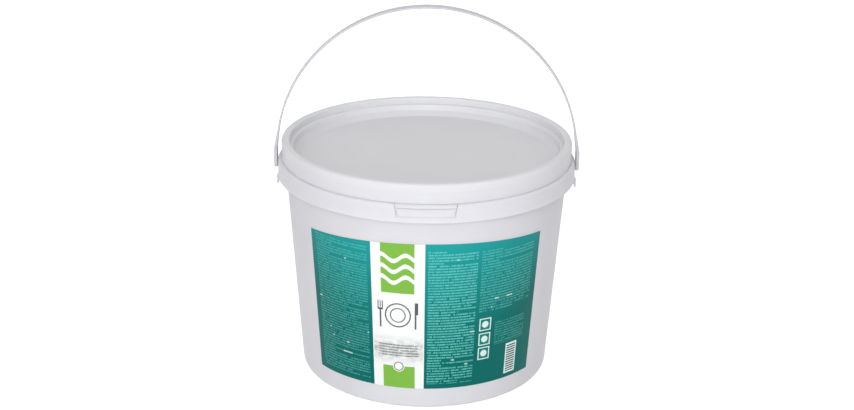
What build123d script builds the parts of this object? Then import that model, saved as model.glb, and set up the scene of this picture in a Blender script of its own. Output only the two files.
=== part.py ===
from build123d import *
import os
from math import asin, atan, cos, degrees, radians, sin, sqrt, tan

# Dishwasher tablet tub: a tapered round pail with a recessed snap lid, a strap bail,
# a film label on the front of the wall and wrapped tablets inside.
# Millimetres. Origin at the middle of the base, +Z up, front towards -Y, bail ears on X.

# Tub wall and base
tub_height = 175.6
base_radius = 93.45
wall_draft = 4.19
wall_thickness = 1.4
base_corner = 5.0
floor_thickness = 1.8
panel_lift = 2.5
foot_ring_width = 6.0
foot_step = 2.5
foot_gap_count = 6
foot_gap_width = 30.0
foot_gap_depth = 0.8

# Neck, rim and collar
neck_height = 17.0
rim_round = 0.5
snap_bead = 0.5
snap_bead_height = 3.0
snap_bead_drop = 6.5
collar_drop = 11.9
collar_overhang = 5.1
collar_height = 13.0
collar_thickness = 1.5
collar_flare = 2.5
collar_edge = 2.2
rib_count = 12
rib_thickness = 1.2
rib_short = 2.0

# Bail ears and the mushroom lugs below them
pivot_drop = 5.7
ear_bore_radius = 2.6
ear_boss_radius = 5.2
ear_boss_stand = 0.8
lug_drop = 14.5
lug_stem_radius = 1.6
lug_head_radius = 3.7
lug_head_thickness = 1.4
lug_head_stand = 1.4

# Tamper panel in the front of the collar
panel_width = 41.8
panel_slant = 12.5
slit_width = 0.5
slit_bottom = 7.7
tear_slit_drop = 2.6
tear_bridge = 1.2
score_drop = 8.6
score_depth = 0.4

# Lid
lid_thickness = 1.5
lid_clearance = 0.3
seat_gap = 0.2
crest_thickness = 2.2
crest_height = 6.0
crest_overhang = 0.2
crest_outer_round = 2.2
crest_inner_round = 1.0
skirt_lift = 0.7
skirt_thickness = 1.05
skirt_bead = 0.55
ledge_depth = 5.2
ledge_width = 2.7
ledge_round = 0.6
recess_wall = 4.3
recess_draft = 14.0
cove_width = 4.6
cove_height = 3.6
cove_round = 3.0

# Bail
strap_thickness = 1.5
strap_depth = 6.5
grip_depth = 8.0
grip_length = 90.0
grip_blend = 8.0
arch_margin = 1.3
arch_rise = 6.9
paddle_gap = 0.5
paddle_thickness = 2.4
paddle_radius = 5.0
paddle_length = 10.5
paddle_blend = 15.5
stud_clearance = 0.05
stud_head_radius = 3.3
stud_head_thickness = 1.0
stud_head_gap = 0.3

# Label
label_bottom = 17.2
label_top = 132.5
label_half_angle = 53.0
label_bow = 4.5
label_corner = 0.8
label_thickness = 0.15
adhesive = 0.1

# Wrapped tablets
tablet_length = 38.0
tablet_width = 28.0
tablet_height = 14.6
tablet_corner = 3.0
tablet_gap = 0.2
tablet_ring_gap = 1.0
full_layers = 6
layer_turn = 18.0


def wall_radius(height):
    """Outer radius of the tapered wall at a height."""
    return base_radius + height * tan(radians(wall_draft))


def collar_radius_at(height):
    """Outer radius of the collar's skirt at a height."""
    return collar_radius + (collar_top - height) * tan(radians(collar_flare))


# Heights and radii that several pieces share
neck_bottom = tub_height - neck_height
neck_radius = wall_radius(neck_bottom)
neck_inner = neck_radius - wall_thickness
collar_top = tub_height - collar_drop
collar_bottom = collar_top - collar_height
collar_radius = neck_radius + collar_overhang
ledge_underside = collar_top - collar_thickness
pivot_height = collar_top - pivot_drop
floor_top = panel_lift + floor_thickness

os.makedirs("parts", exist_ok=True)

# Tub: one moulding, turned from its section, then vented, ribbed, drilled and slit
with BuildPart() as tub:
    with BuildSketch(Plane.XZ):
        with BuildLine():
            foot_inner = base_radius - base_corner - foot_ring_width
            bead_middle = tub_height - snap_bead_drop
            FilletPolyline(
                (0, panel_lift),
                (foot_inner - foot_step, panel_lift),
                (foot_inner, 0),
                (base_radius, 0),
                (neck_radius, neck_bottom),
                (neck_radius, ledge_underside),
                (collar_radius_at(ledge_underside) - collar_thickness, ledge_underside),
                (collar_radius_at(collar_bottom) - collar_thickness, collar_bottom),
                (collar_radius_at(collar_bottom), collar_bottom),
                (collar_radius, collar_top),
                (neck_radius, collar_top),
                (neck_radius, bead_middle - snap_bead_height / 2),
                (neck_radius + snap_bead, bead_middle),
                (neck_radius, bead_middle + snap_bead_height / 2),
                (neck_radius, tub_height),
                (neck_inner, tub_height),
                (neck_inner, neck_bottom),
                (wall_radius(floor_thickness) - wall_thickness, floor_thickness),
                (foot_inner, floor_thickness),
                (foot_inner - foot_step, floor_top),
                (0, floor_top),
                radius=[
                    0, 0, 0, base_corner, 0, 0, 0, 0, 0, collar_edge, 0,
                    0, 0, 0, rim_round, rim_round, 0, base_corner - wall_thickness, 0, 0, 0,
                ],
                close=True,
            )
        make_face()
    revolve(axis=Axis.Z)

    # Drain gaps across the foot ring leave the tub standing on short arcs
    with PolarLocations(base_radius - foot_ring_width, foot_gap_count, 180 / foot_gap_count):
        Box(4 * foot_ring_width, foot_gap_width, 2 * foot_gap_depth, mode=Mode.SUBTRACT)

    # Stiffening ribs between the wall and the collar, set between the ears and clear of the panel
    for index in range(rib_count):
        rib_angle = (index + 0.5) * 360 / rib_count
        rib_bottom = collar_bottom + rib_short
        with BuildSketch(Plane.XZ.rotated((0, 0, rib_angle))):
            with BuildLine():
                Polyline(
                    (wall_radius(rib_bottom) - wall_thickness / 2, rib_bottom),
                    (collar_radius_at(rib_bottom) - collar_thickness / 2, rib_bottom),
                    (collar_radius_at(ledge_underside) - collar_thickness / 2, ledge_underside),
                    (neck_radius - wall_thickness / 2, ledge_underside),
                    (wall_radius(neck_bottom) - wall_thickness / 2, neck_bottom),
                    close=True,
                )
            make_face()
        extrude(amount=rib_thickness / 2, both=True)

    # Each side has an ear, a boss behind the collar with a bore, and a mushroom lug under it
    boss_outer = collar_radius_at(pivot_height) - collar_thickness / 2
    boss_inner = collar_radius_at(pivot_height) - collar_thickness - ear_boss_stand
    lug_height = pivot_height - lug_drop
    lug_root = wall_radius(lug_height) - wall_thickness / 2
    lug_face = collar_radius_at(collar_bottom) + lug_head_stand
    for side in (1, -1):
        ear_plane = Plane(origin=(side * boss_inner, 0, pivot_height), z_dir=(side, 0, 0))
        with BuildSketch(ear_plane):
            Circle(ear_boss_radius)
        extrude(amount=boss_outer - boss_inner)
        with BuildSketch(ear_plane):
            Circle(ear_bore_radius)
        extrude(amount=collar_overhang, mode=Mode.SUBTRACT)
        lug_plane = Plane(origin=(side * lug_root, 0, lug_height), z_dir=(side, 0, 0))
        with BuildSketch(lug_plane):
            Circle(lug_stem_radius)
        extrude(amount=lug_face - lug_root)
        with BuildSketch(lug_plane.offset(lug_face - lug_root - lug_head_thickness)):
            Circle(lug_head_radius)
        extrude(amount=lug_head_thickness)

    # Tamper panel: two slanted slits and a tear slit through the collar, and a score below
    slit_plane = Plane.XZ.offset(neck_radius + wall_thickness / 4)
    slit_rise = slit_bottom / cos(radians(panel_slant))
    slit_middle = collar_top - slit_bottom / 2
    tear_half = panel_width / 2 + (slit_bottom / 2 - tear_slit_drop) * tan(radians(panel_slant))
    with BuildSketch(slit_plane):
        for side in (1, -1):
            with Locations((side * panel_width / 2, slit_middle)):
                SlotCenterToCenter(slit_rise, slit_width, rotation=90 - side * panel_slant)
        with Locations((0, collar_top - tear_slit_drop)):
            SlotOverall(2 * (tear_half - tear_bridge), slit_width)
    extrude(amount=collar_overhang + collar_thickness, mode=Mode.SUBTRACT)
    score_height = collar_top - score_drop
    score_half_angle = degrees(asin(panel_width / 2 / collar_radius))
    with BuildSketch(Plane.XZ.rotated((0, 0, -90 - score_half_angle))):
        with Locations((collar_radius_at(score_height), score_height)):
            Rectangle(2 * score_depth, slit_width / 2)
    revolve(axis=Axis.Z, revolution_arc=2 * score_half_angle, mode=Mode.SUBTRACT)
tub.part.label = "tub"
export_step(tub.part, "parts/tub.step")

# Lid: one moulding, turned from its section, that seats on the rim and clears the neck all round
with BuildPart() as lid:
    crest_top = tub_height + seat_gap + crest_thickness
    groove_top = tub_height + seat_gap
    groove_outer = neck_radius + lid_clearance
    plug_radius = neck_inner - lid_clearance
    bead_radius = neck_radius + snap_bead + lid_clearance
    skirt_bottom = collar_top + skirt_lift
    skirt_inner = bead_radius + skirt_bead
    skirt_outer = skirt_inner + skirt_thickness
    crest_radius = skirt_outer + crest_overhang
    crest_bottom = crest_top - crest_height
    crest_inner = plug_radius - lid_thickness
    ledge_top = crest_top - ledge_depth
    recess_top_radius = crest_inner - ledge_width
    cove_top = ledge_top - recess_wall
    cove_radius = recess_top_radius - recess_wall * tan(radians(recess_draft))
    panel_height = cove_top - cove_height
    panel_radius = cove_radius - cove_width
    with BuildSketch(Plane.XZ):
        with BuildLine():
            FilletPolyline(
                (0, panel_height),
                (panel_radius, panel_height),
                (cove_radius, cove_top),
                (recess_top_radius, ledge_top),
                (crest_inner, ledge_top),
                (crest_inner, crest_top),
                (crest_radius, crest_top),
                (crest_radius, crest_bottom),
                (skirt_outer, crest_bottom - crest_overhang),
                (skirt_outer, skirt_bottom),
                (skirt_inner, skirt_bottom),
                (bead_radius, skirt_bottom + skirt_bead),
                (skirt_inner - skirt_bead / 3, skirt_bottom + 3 * skirt_bead),
                (groove_outer, groove_top),
                (plug_radius, groove_top),
                (plug_radius, ledge_top - lid_thickness),
                (recess_top_radius + lid_thickness, ledge_top - lid_thickness),
                (cove_radius + lid_thickness, cove_top - lid_thickness / 2),
                (panel_radius + lid_thickness / 2, panel_height - lid_thickness),
                (0, panel_height - lid_thickness),
                radius=[
                    0, cove_round, ledge_round, ledge_round, ledge_round, crest_inner_round,
                    crest_outer_round, 0, 0, 0, 0, 0, 0, 0, 0, 0, 0, 0, 0, 0,
                ],
                close=True,
            )
        make_face()
    revolve(axis=Axis.Z)
lid.part.label = "lid"
export_step(lid.part, "parts/lid.step")

# Bail: a strap arch with a wider grip, paddle ends outside the collar and studs through the ears
with BuildPart() as bail:
    arch_radius = collar_radius + arch_margin
    arch_centre = pivot_height + arch_rise
    arch_top = arch_centre + arch_radius + strap_thickness / 2
    paddle_inner = collar_radius_at(collar_bottom) + paddle_gap
    paddle_outer = paddle_inner + paddle_thickness
    paddle_top = pivot_height + paddle_length
    blend_top = paddle_top + paddle_blend
    arch_foot = blend_top - arch_centre
    leg_outer = sqrt((arch_radius + strap_thickness / 2) ** 2 - arch_foot**2)
    leg_inner = sqrt((arch_radius - strap_thickness / 2) ** 2 - arch_foot**2)
    with BuildSketch(Plane.XZ):
        with BuildLine():
            outer_arc = CenterArc((0, arch_centre), arch_radius + strap_thickness / 2, 0, 180)
            inner_arc = CenterArc((0, arch_centre), arch_radius - strap_thickness / 2, 0, 180)
            Line(outer_arc @ 0, inner_arc @ 0)
            Line(outer_arc @ 1, inner_arc @ 1)
        make_face()
        # The arch ends where the straight legs begin
        with Locations((0, arch_centre)):
            Rectangle(2 * paddle_outer, 2 * arch_foot, mode=Mode.SUBTRACT)
        with BuildLine():
            Polyline(
                (paddle_inner, pivot_height - paddle_radius),
                (paddle_outer, pivot_height - paddle_radius),
                (paddle_outer, paddle_top),
                (leg_outer, blend_top),
                (leg_inner, blend_top),
                (paddle_inner, paddle_top),
                close=True,
            )
        make_face()
        mirror(about=Plane.YZ)
    extrude(amount=max(grip_depth / 2, paddle_radius), both=True)
    # Side outline: round paddle, slim arm, wide grip
    grip_foot = arch_centre + sqrt(arch_radius**2 - (grip_length / 2) ** 2)
    with BuildSketch(Plane.YZ):
        with BuildLine():
            Polyline(
                (0, paddle_top),
                (paddle_radius, paddle_top),
                (strap_depth / 2, blend_top),
                (strap_depth / 2, grip_foot - grip_blend),
                (grip_depth / 2, grip_foot),
                (grip_depth / 2, arch_top),
                (0, arch_top),
                close=True,
            )
        make_face()
        mirror(about=Plane.YZ)
        with Locations((0, pivot_height)):
            Circle(paddle_radius)
        with Locations((0, (pivot_height + paddle_top) / 2)):
            Rectangle(2 * paddle_radius, paddle_top - pivot_height)
    extrude(amount=paddle_outer, both=True, mode=Mode.INTERSECT)
    # Studs: a shaft through each ear bore and a head that keeps it there
    head_outer = boss_inner - stud_head_gap
    for side in (1, -1):
        stud_plane = Plane(origin=(side * head_outer, 0, pivot_height), z_dir=(side, 0, 0))
        with BuildSketch(stud_plane):
            Circle(ear_bore_radius - stud_clearance)
        extrude(amount=paddle_inner + paddle_thickness / 2 - head_outer)
        with BuildSketch(stud_plane):
            Circle(stud_head_radius)
        extrude(amount=-stud_head_thickness)
bail.part.label = "bail"
export_step(bail.part, "parts/bail.step")

# Label: a film on the wall's cone, cut to a front outline with a bowed top edge and round corners
with BuildPart() as label:
    with BuildSketch(Plane.XZ.rotated((0, 0, 180))):
        with BuildLine():
            Polyline(
                (wall_radius(label_bottom) + adhesive, label_bottom),
                (wall_radius(label_bottom) + adhesive + label_thickness, label_bottom),
                (wall_radius(label_top) + adhesive + label_thickness, label_top),
                (wall_radius(label_top) + adhesive, label_top),
                close=True,
            )
        make_face()
    revolve(axis=Axis.Z, revolution_arc=180)
    label_shoulder = label_top - label_bow
    half_low = wall_radius(label_bottom) * sin(radians(label_half_angle))
    half_high = wall_radius(label_shoulder) * sin(radians(label_half_angle))
    with BuildSketch(Plane.XZ):
        with BuildLine():
            Polyline(
                (half_high, label_shoulder),
                (half_low, label_bottom),
                (-half_low, label_bottom),
                (-half_high, label_shoulder),
            )
            ThreePointArc((-half_high, label_shoulder), (0, label_top), (half_high, label_shoulder))
        label_outline = make_face()
        fillet(label_outline.vertices(), label_corner)
    extrude(amount=2 * base_radius, mode=Mode.INTERSECT)
label.part.label = "label"
export_step(label.part, "parts/label.step")


def ring_radius(limit):
    """Middle radius of a ring of tablets whose outer corners stay inside a limit."""
    return sqrt((limit - tablet_ring_gap) ** 2 - (tablet_length / 2) ** 2) - tablet_width / 2


def ring_count(radius):
    """How many tablets go round a ring before their inner corners meet."""
    half_angle = degrees(atan((tablet_length + tablet_gap) / 2 / (radius - tablet_width / 2)))
    return int(180 / half_angle)


# Wrapped tablets: two rings and a middle one in each layer, and an inner ring less one on top
outer_ring = ring_radius(wall_radius(floor_top) - wall_thickness)
inner_ring = ring_radius(outer_ring - tablet_width / 2)
top_count = ring_count(inner_ring) - 1
middle_reach = sqrt(tablet_width**2 + tablet_length**2) / 2 - tablet_corner / sqrt(2)
for layer in range(full_layers + 1):
    layer_middle = floor_top + tablet_gap + tablet_height / 2 + layer * (tablet_height + tablet_gap)
    with BuildPart() as tablets:
        with Locations((0, 0, layer_middle)):
            if layer < full_layers:
                if middle_reach + tablet_gap < inner_ring - tablet_width / 2:
                    Box(tablet_width, tablet_length, tablet_height)
                with PolarLocations(outer_ring, ring_count(outer_ring), layer * layer_turn):
                    Box(tablet_width, tablet_length, tablet_height)
                with PolarLocations(inner_ring, ring_count(inner_ring), layer * layer_turn):
                    Box(tablet_width, tablet_length, tablet_height)
            else:
                top_span = 360 * top_count / ring_count(inner_ring)
                with PolarLocations(inner_ring, top_count, layer * layer_turn, top_span):
                    Box(tablet_width, tablet_length, tablet_height)
        chamfer(tablets.edges().filter_by(Axis.Z), tablet_corner)
    tablets.part.label = f"tablets_layer_{layer + 1}"
    export_step(tablets.part, f"parts/tablets_layer_{layer + 1}.step")
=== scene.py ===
from math import asin, cos, degrees, pi, radians, sin, sqrt, tan

import bmesh
import bpy
from mathutils import Matrix, Vector


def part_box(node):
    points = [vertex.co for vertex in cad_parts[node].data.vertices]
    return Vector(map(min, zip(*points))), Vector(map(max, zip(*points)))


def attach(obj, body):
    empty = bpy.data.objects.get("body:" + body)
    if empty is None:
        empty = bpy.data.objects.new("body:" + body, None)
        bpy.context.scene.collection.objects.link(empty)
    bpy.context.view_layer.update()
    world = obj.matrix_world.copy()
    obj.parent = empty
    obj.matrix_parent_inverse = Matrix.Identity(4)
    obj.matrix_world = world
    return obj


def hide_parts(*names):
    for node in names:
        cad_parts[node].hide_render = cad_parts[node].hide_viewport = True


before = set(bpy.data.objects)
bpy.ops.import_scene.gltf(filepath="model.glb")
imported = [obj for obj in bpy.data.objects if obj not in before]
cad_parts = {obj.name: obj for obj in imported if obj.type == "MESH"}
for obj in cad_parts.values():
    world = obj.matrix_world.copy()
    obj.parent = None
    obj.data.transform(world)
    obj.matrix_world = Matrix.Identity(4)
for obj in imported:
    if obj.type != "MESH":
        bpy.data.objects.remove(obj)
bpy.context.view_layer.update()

# Tub: one injection moulding in white polypropylene, turned about its axis.
# Tapered wall on a foot ring, a neck that the lid snaps onto, and a collar with ribs behind it,
# bail ears at its sides and a tamper panel slit into its front.
mm = 0.001
rim_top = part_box("tub")[1].z
base_radius = 93.45 * mm
wall_slope = tan(radians(4.19))
wall_thickness = 1.4 * mm
base_corner = 5.0 * mm
panel_lift = 2.5 * mm
floor_thickness = 1.8 * mm
foot_width = 6.0 * mm
foot_inner = base_radius - base_corner - foot_width
foot_step = 2.5 * mm
neck_bottom = rim_top - 17.0 * mm
neck_radius = base_radius + neck_bottom * wall_slope
neck_inner = neck_radius - wall_thickness
bead_middle = rim_top - 6.5 * mm
bead_stand = 0.5 * mm
bead_half = 1.5 * mm
collar_top = rim_top - 11.9 * mm
collar_bottom = collar_top - 13.0 * mm
collar_radius = neck_radius + 5.1 * mm
collar_slope = tan(radians(2.5))
collar_thickness = 1.5 * mm
ledge_underside = collar_top - collar_thickness
pivot_height = collar_top - 5.7 * mm
# Roundings of the moulded edges
edge_round = 0.5 * mm
bend_round = 1.0 * mm
foot_round = 0.8 * mm
neck_round = 1.2 * mm
bead_round = 0.8 * mm
collar_round = 2.2 * mm
hem_round = 0.4 * mm
hem_inner_round = 0.3 * mm


def wall_radius(height):
    """Outer radius of the tapered wall at a height."""
    return base_radius + height * wall_slope


def collar_radius_at(height):
    """Outer radius of the collar's skirt at a height."""
    return collar_radius + (collar_top - height) * collar_slope


def rounded(corners, longest, steps=6):
    """A section line through corners (across, up, rounding), with an arc at each rounded corner
    and no run over the longest length."""
    line = []
    neighbours = zip([corners[0]] + corners[:-1], corners, corners[1:] + [corners[-1]])
    for before, corner, after in neighbours:
        here = Vector(corner[:2])
        rounding = corner[2]
        if rounding == 0:
            line.append(here)
            continue
        back = (Vector(before[:2]) - here).normalized()
        ahead = (Vector(after[:2]) - here).normalized()
        half = back.angle(ahead) / 2
        centre = here + (back + ahead).normalized() * rounding / sin(half)
        start = here + back * rounding / tan(half) - centre
        end = here + ahead * rounding / tan(half) - centre
        line += [centre + start.slerp(end, step / steps) * rounding for step in range(steps + 1)]
    divided = [line[0]]
    for point in line[1:]:
        begin = divided[-1]
        pieces = max(1, round((point - begin).length / longest + 0.5))
        divided += [begin.lerp(point, step / pieces) for step in range(1, pieces + 1)]
    return divided


def finished(name, shape):
    """A scene object from a bmesh, with its faces turned outwards."""
    bmesh.ops.recalc_face_normals(shape, faces=shape.faces)
    mesh = bpy.data.meshes.new(name)
    shape.to_mesh(mesh)
    shape.free()
    piece = bpy.data.objects.new(name, mesh)
    bpy.context.scene.collection.objects.link(piece)
    return piece


def turned(name, line, turns=256):
    """A solid turned about Z from a section line; points on the axis become poles."""
    on_axis = 1e-7
    shape = bmesh.new()
    rings = []
    for across, up in line:
        if across < on_axis:
            rings.append([shape.verts.new((0, 0, up))])
            continue
        angles = [2 * pi * step / turns for step in range(turns)]
        rings.append([shape.verts.new((across * cos(a), across * sin(a), up)) for a in angles])
    for lower, upper in zip(rings, rings[1:]):
        for step in range(turns):
            ahead = (step + 1) % turns
            around = [lower[step % len(lower)], lower[ahead % len(lower)]]
            around += [upper[ahead % len(upper)], upper[step % len(upper)]]
            shape.faces.new(list(dict.fromkeys(around)))
    return finished(name, shape)


def settled(piece):
    """Replace a piece's mesh by its evaluated one and drop its modifiers."""
    bpy.context.view_layer.update()
    ready = piece.evaluated_get(bpy.context.evaluated_depsgraph_get())
    mesh = bpy.data.meshes.new_from_object(ready)
    piece.modifiers.clear()
    piece.data = mesh
    return piece


def carved(piece, tool, operation):
    """Cut a tool from a piece, or unite the two, and clear the slivers that this leaves."""
    carving = piece.modifiers.new("carving", "BOOLEAN")
    carving.operation = operation
    carving.solver = "EXACT"
    carving.object = tool
    settled(piece)
    bpy.data.objects.remove(tool)
    sliver = 0.01 * mm
    shape = bmesh.new()
    shape.from_mesh(piece.data)
    bmesh.ops.remove_doubles(shape, verts=shape.verts, dist=sliver)
    bmesh.ops.triangulate(shape, faces=[face for face in shape.faces if len(face.verts) > 4])
    bmesh.ops.dissolve_degenerate(shape, edges=shape.edges, dist=sliver)
    shape.to_mesh(piece.data)
    shape.free()
    return piece


def linear(code):
    """An sRGB hex colour as a linear RGBA."""
    shares = [int(code[start:start + 2], 16) / 255 for start in (1, 3, 5)]
    return [s / 12.92 if s < 0.04045 else ((s + 0.055) / 1.055) ** 2.4 for s in shares] + [1.0]


def add_node(tree, kind, inputs=None, **settings):
    """Add one node with its settings, and its inputs as values or as sockets to link."""
    node = tree.nodes.new(kind)
    for name, value in settings.items():
        setattr(node, name, value)
    for key, value in (inputs or {}).items():
        if isinstance(value, bpy.types.NodeSocket):
            tree.links.new(value, node.inputs[key])
        else:
            node.inputs[key].default_value = value
    return node


def moulded_polypropylene(name, light, shade, roughness):
    """White polypropylene from a polished mould with a fine spark-eroded grain. It is slightly milky,
    with a soft sheen, faint flow clouds and a grain that only blurs the highlights."""
    grain_width = 0.7 * mm
    grain_depth = 0.05 * mm
    grain_strength = 0.12
    cloud_width = 45 * mm
    gloss_spread = 0.05
    milk_depth = 3.0 * mm
    material = bpy.data.materials.new(name)
    material.use_nodes = True
    tree = material.node_tree
    shader = tree.nodes["Principled BSDF"]
    place = add_node(tree, "ShaderNodeTexCoord").outputs["Object"]
    clouds = add_node(
        tree, "ShaderNodeTexNoise", {"Vector": place, "Scale": 1 / cloud_width, "Detail": 3.0}
    ).outputs["Fac"]
    tone = add_node(
        tree, "ShaderNodeMix", {"Factor": clouds, 6: linear(light), 7: linear(shade)}, data_type="RGBA"
    )
    grain = add_node(
        tree, "ShaderNodeTexNoise", {"Vector": place, "Scale": 1 / grain_width, "Detail": 2.0}
    ).outputs["Fac"]
    gloss = add_node(
        tree,
        "ShaderNodeMapRange",
        {"Value": clouds, "To Min": roughness - gloss_spread, "To Max": roughness + gloss_spread},
    )
    relief = add_node(
        tree, "ShaderNodeBump", {"Height": grain, "Strength": grain_strength, "Distance": grain_depth}
    )
    tree.links.new(tone.outputs[2], shader.inputs["Base Color"])
    tree.links.new(gloss.outputs["Result"], shader.inputs["Roughness"])
    tree.links.new(relief.outputs["Normal"], shader.inputs["Normal"])
    shader.inputs["IOR"].default_value = 1.49
    shader.inputs["Specular IOR Level"].default_value = 0.2
    shader.inputs["Subsurface Weight"].default_value = 0.5
    shader.inputs["Subsurface Radius"].default_value = (1.0, 1.0, 1.0)
    shader.inputs["Subsurface Scale"].default_value = milk_depth
    return material


tub_section = [
    (0, panel_lift, 0),
    (foot_inner - foot_step, panel_lift, bend_round),
    (foot_inner, 0, foot_round),
    (base_radius, 0, base_corner),
    (neck_radius, neck_bottom, neck_round),
    (neck_radius, ledge_underside, edge_round),
    (collar_radius_at(ledge_underside) - collar_thickness, ledge_underside, edge_round),
    (collar_radius_at(collar_bottom) - collar_thickness, collar_bottom, hem_inner_round),
    (collar_radius_at(collar_bottom), collar_bottom, hem_round),
    (collar_radius, collar_top, collar_round),
    (neck_radius, collar_top, edge_round),
    (neck_radius, bead_middle - bead_half, edge_round),
    (neck_radius + bead_stand, bead_middle, bead_round),
    (neck_radius, bead_middle + bead_half, edge_round),
    (neck_radius, rim_top, edge_round),
    (neck_inner, rim_top, edge_round),
    (neck_inner, neck_bottom, bend_round),
    (wall_radius(floor_thickness) - wall_thickness, floor_thickness, base_corner - wall_thickness),
    (foot_inner, floor_thickness, foot_round),
    (foot_inner - foot_step, panel_lift + floor_thickness, bend_round),
    (0, panel_lift + floor_thickness, 0),
]
tub = turned("tub", rounded(tub_section, longest=8 * mm))
drain_count = 6
drain_size = (24.0 * mm, 30.0 * mm, 1.6 * mm)
drain_radius = base_radius - 6.0 * mm
drains = bmesh.new()
for index in range(drain_count):
    turn = Matrix.Rotation(2 * pi * (index + 0.5) / drain_count, 4, "Z")
    place = turn @ Matrix.Translation((drain_radius, 0, 0)) @ Matrix.Diagonal((*drain_size, 1))
    bmesh.ops.create_cube(drains, size=1, matrix=place)
carved(tub, finished("drains", drains), "DIFFERENCE")
tub_plastic = moulded_polypropylene("moulded polypropylene, tub", "#e9e8ee", "#e2e1e7", 0.42)

# Stiffening ribs: thin polypropylene webs between the wall and the collar, moulded in one with the tub.
# They keep the collar round; one shape is repeated about the axis.
rib_count = 12
rib_half = 0.6 * mm
rib_bottom = collar_bottom + 2.0 * mm
rib_outline = [
    (wall_radius(rib_bottom) - wall_thickness / 2, rib_bottom),
    (collar_radius_at(rib_bottom) - collar_thickness / 2, rib_bottom),
    (collar_radius_at(ledge_underside) - collar_thickness / 2, ledge_underside + collar_thickness / 2),
    (neck_radius - wall_thickness / 2, ledge_underside + collar_thickness / 2),
    (wall_radius(neck_bottom) - wall_thickness / 2, neck_bottom),
]


def prism(name, outline, near, far):
    """A prism with an outline in X and Z, between two depths in Y."""
    shape = bmesh.new()
    ends = [[shape.verts.new((x, y, z)) for x, z in outline] for y in (near, far)]
    for step in range(len(outline)):
        ahead = (step + 1) % len(outline)
        shape.faces.new((ends[0][step], ends[0][ahead], ends[1][ahead], ends[1][step]))
    for end in ends:
        shape.faces.new(end)
    return finished(name, shape)


ribs = prism("ribs", rib_outline, -rib_half, rib_half)
rib_tree = bpy.data.node_groups.new("collar ribs", "GeometryNodeTree")
rib_tree.interface.new_socket("Geometry", in_out="INPUT", socket_type="NodeSocketGeometry")
rib_tree.interface.new_socket("Geometry", in_out="OUTPUT", socket_type="NodeSocketGeometry")
count_socket = rib_tree.interface.new_socket("Rib count", in_out="INPUT", socket_type="NodeSocketInt")
step_socket = rib_tree.interface.new_socket("Rib step", in_out="INPUT", socket_type="NodeSocketFloat")
plastic_socket = rib_tree.interface.new_socket("Plastic", in_out="INPUT", socket_type="NodeSocketMaterial")
given = add_node(rib_tree, "NodeGroupInput").outputs
number = add_node(rib_tree, "GeometryNodeInputIndex").outputs[0]
half_on = add_node(rib_tree, "ShaderNodeMath", {0: number, 1: 0.5}, operation="ADD").outputs[0]
turn = add_node(
    rib_tree, "ShaderNodeMath", {0: half_on, 1: given["Rib step"]}, operation="MULTIPLY"
).outputs[0]
facing = add_node(rib_tree, "ShaderNodeCombineXYZ", {"Z": turn}).outputs[0]
centres = add_node(rib_tree, "GeometryNodePoints", {"Count": given["Rib count"]}).outputs[0]
placed = add_node(
    rib_tree,
    "GeometryNodeInstanceOnPoints",
    {"Points": centres, "Instance": given["Geometry"], "Rotation": facing},
).outputs[0]
real = add_node(rib_tree, "GeometryNodeRealizeInstances", {"Geometry": placed}).outputs[0]
painted = add_node(
    rib_tree, "GeometryNodeSetMaterial", {"Geometry": real, "Material": given["Plastic"]}
).outputs[0]
add_node(rib_tree, "NodeGroupOutput", {"Geometry": painted})
pattern = ribs.modifiers.new("pattern", "NODES")
pattern.node_group = rib_tree
pattern[count_socket.identifier] = rib_count
pattern[step_socket.identifier] = 2 * pi / rib_count
pattern[plastic_socket.identifier] = tub_plastic
settled(ribs)

# Bail ears and mushroom lugs: polypropylene, moulded in one with the tub.
# Each ear is a boss behind the collar with a bore for the bail's stud, and a headed peg stands below it.
bore_radius = 2.6 * mm
boss_radius = 5.2 * mm
boss_stand = 0.8 * mm
boss_outer = collar_radius_at(pivot_height) - collar_thickness / 2
boss_inner = collar_radius_at(pivot_height) - collar_thickness - boss_stand
lug_height = pivot_height - 14.5 * mm
lug_root = wall_radius(lug_height) - wall_thickness / 2
lug_stand = 1.4 * mm
lug_face = collar_radius_at(collar_bottom) + lug_stand
head_thickness = 1.4 * mm
head_under = lug_face - head_thickness
head_radius = 3.7 * mm
stem_radius = 1.6 * mm
boss_round = 0.3 * mm
stem_round = 0.4 * mm
head_round = 0.5 * mm
head_under_round = 0.35 * mm
ear_turns = 48
ear_run = 4 * mm
cut_past = 1 * mm
boss_section = [
    (0, boss_inner, 0),
    (boss_radius, boss_inner, boss_round),
    (boss_radius, boss_outer, 0),
    (0, boss_outer, 0),
]
lug_section = [
    (0, lug_root, 0),
    (stem_radius, lug_root, 0),
    (stem_radius, head_under, stem_round),
    (head_radius, head_under, head_under_round),
    (head_radius, lug_face, head_round),
    (0, lug_face, 0),
]
bore_section = [
    (0, boss_inner - cut_past, 0),
    (bore_radius, boss_inner - cut_past, 0),
    (bore_radius, collar_radius + cut_past, 0),
    (0, collar_radius + cut_past, 0),
]


def on_side(name, section, longest, side, height):
    """A turned piece laid along X, on one side of the tub, at a height."""
    piece = turned(name, rounded(section, longest), ear_turns)
    piece.data.transform(Matrix.Translation((0, 0, height)) @ Matrix.Rotation(side * pi / 2, 4, "Y"))
    return piece


def joined(pieces):
    """One object from several."""
    shape = bmesh.new()
    for piece in pieces:
        shape.from_mesh(piece.data)
        bpy.data.objects.remove(piece)
    return finished("joined", shape)


additions = [ribs]
cutters = []
for side in (1, -1):
    additions.append(on_side("boss", boss_section, ear_run, side, pivot_height))
    additions.append(on_side("lug", lug_section, ear_run, side, lug_height))
    cutters.append(on_side("bore", bore_section, ear_run, side, pivot_height))
carved(tub, joined(additions), "UNION")

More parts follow.
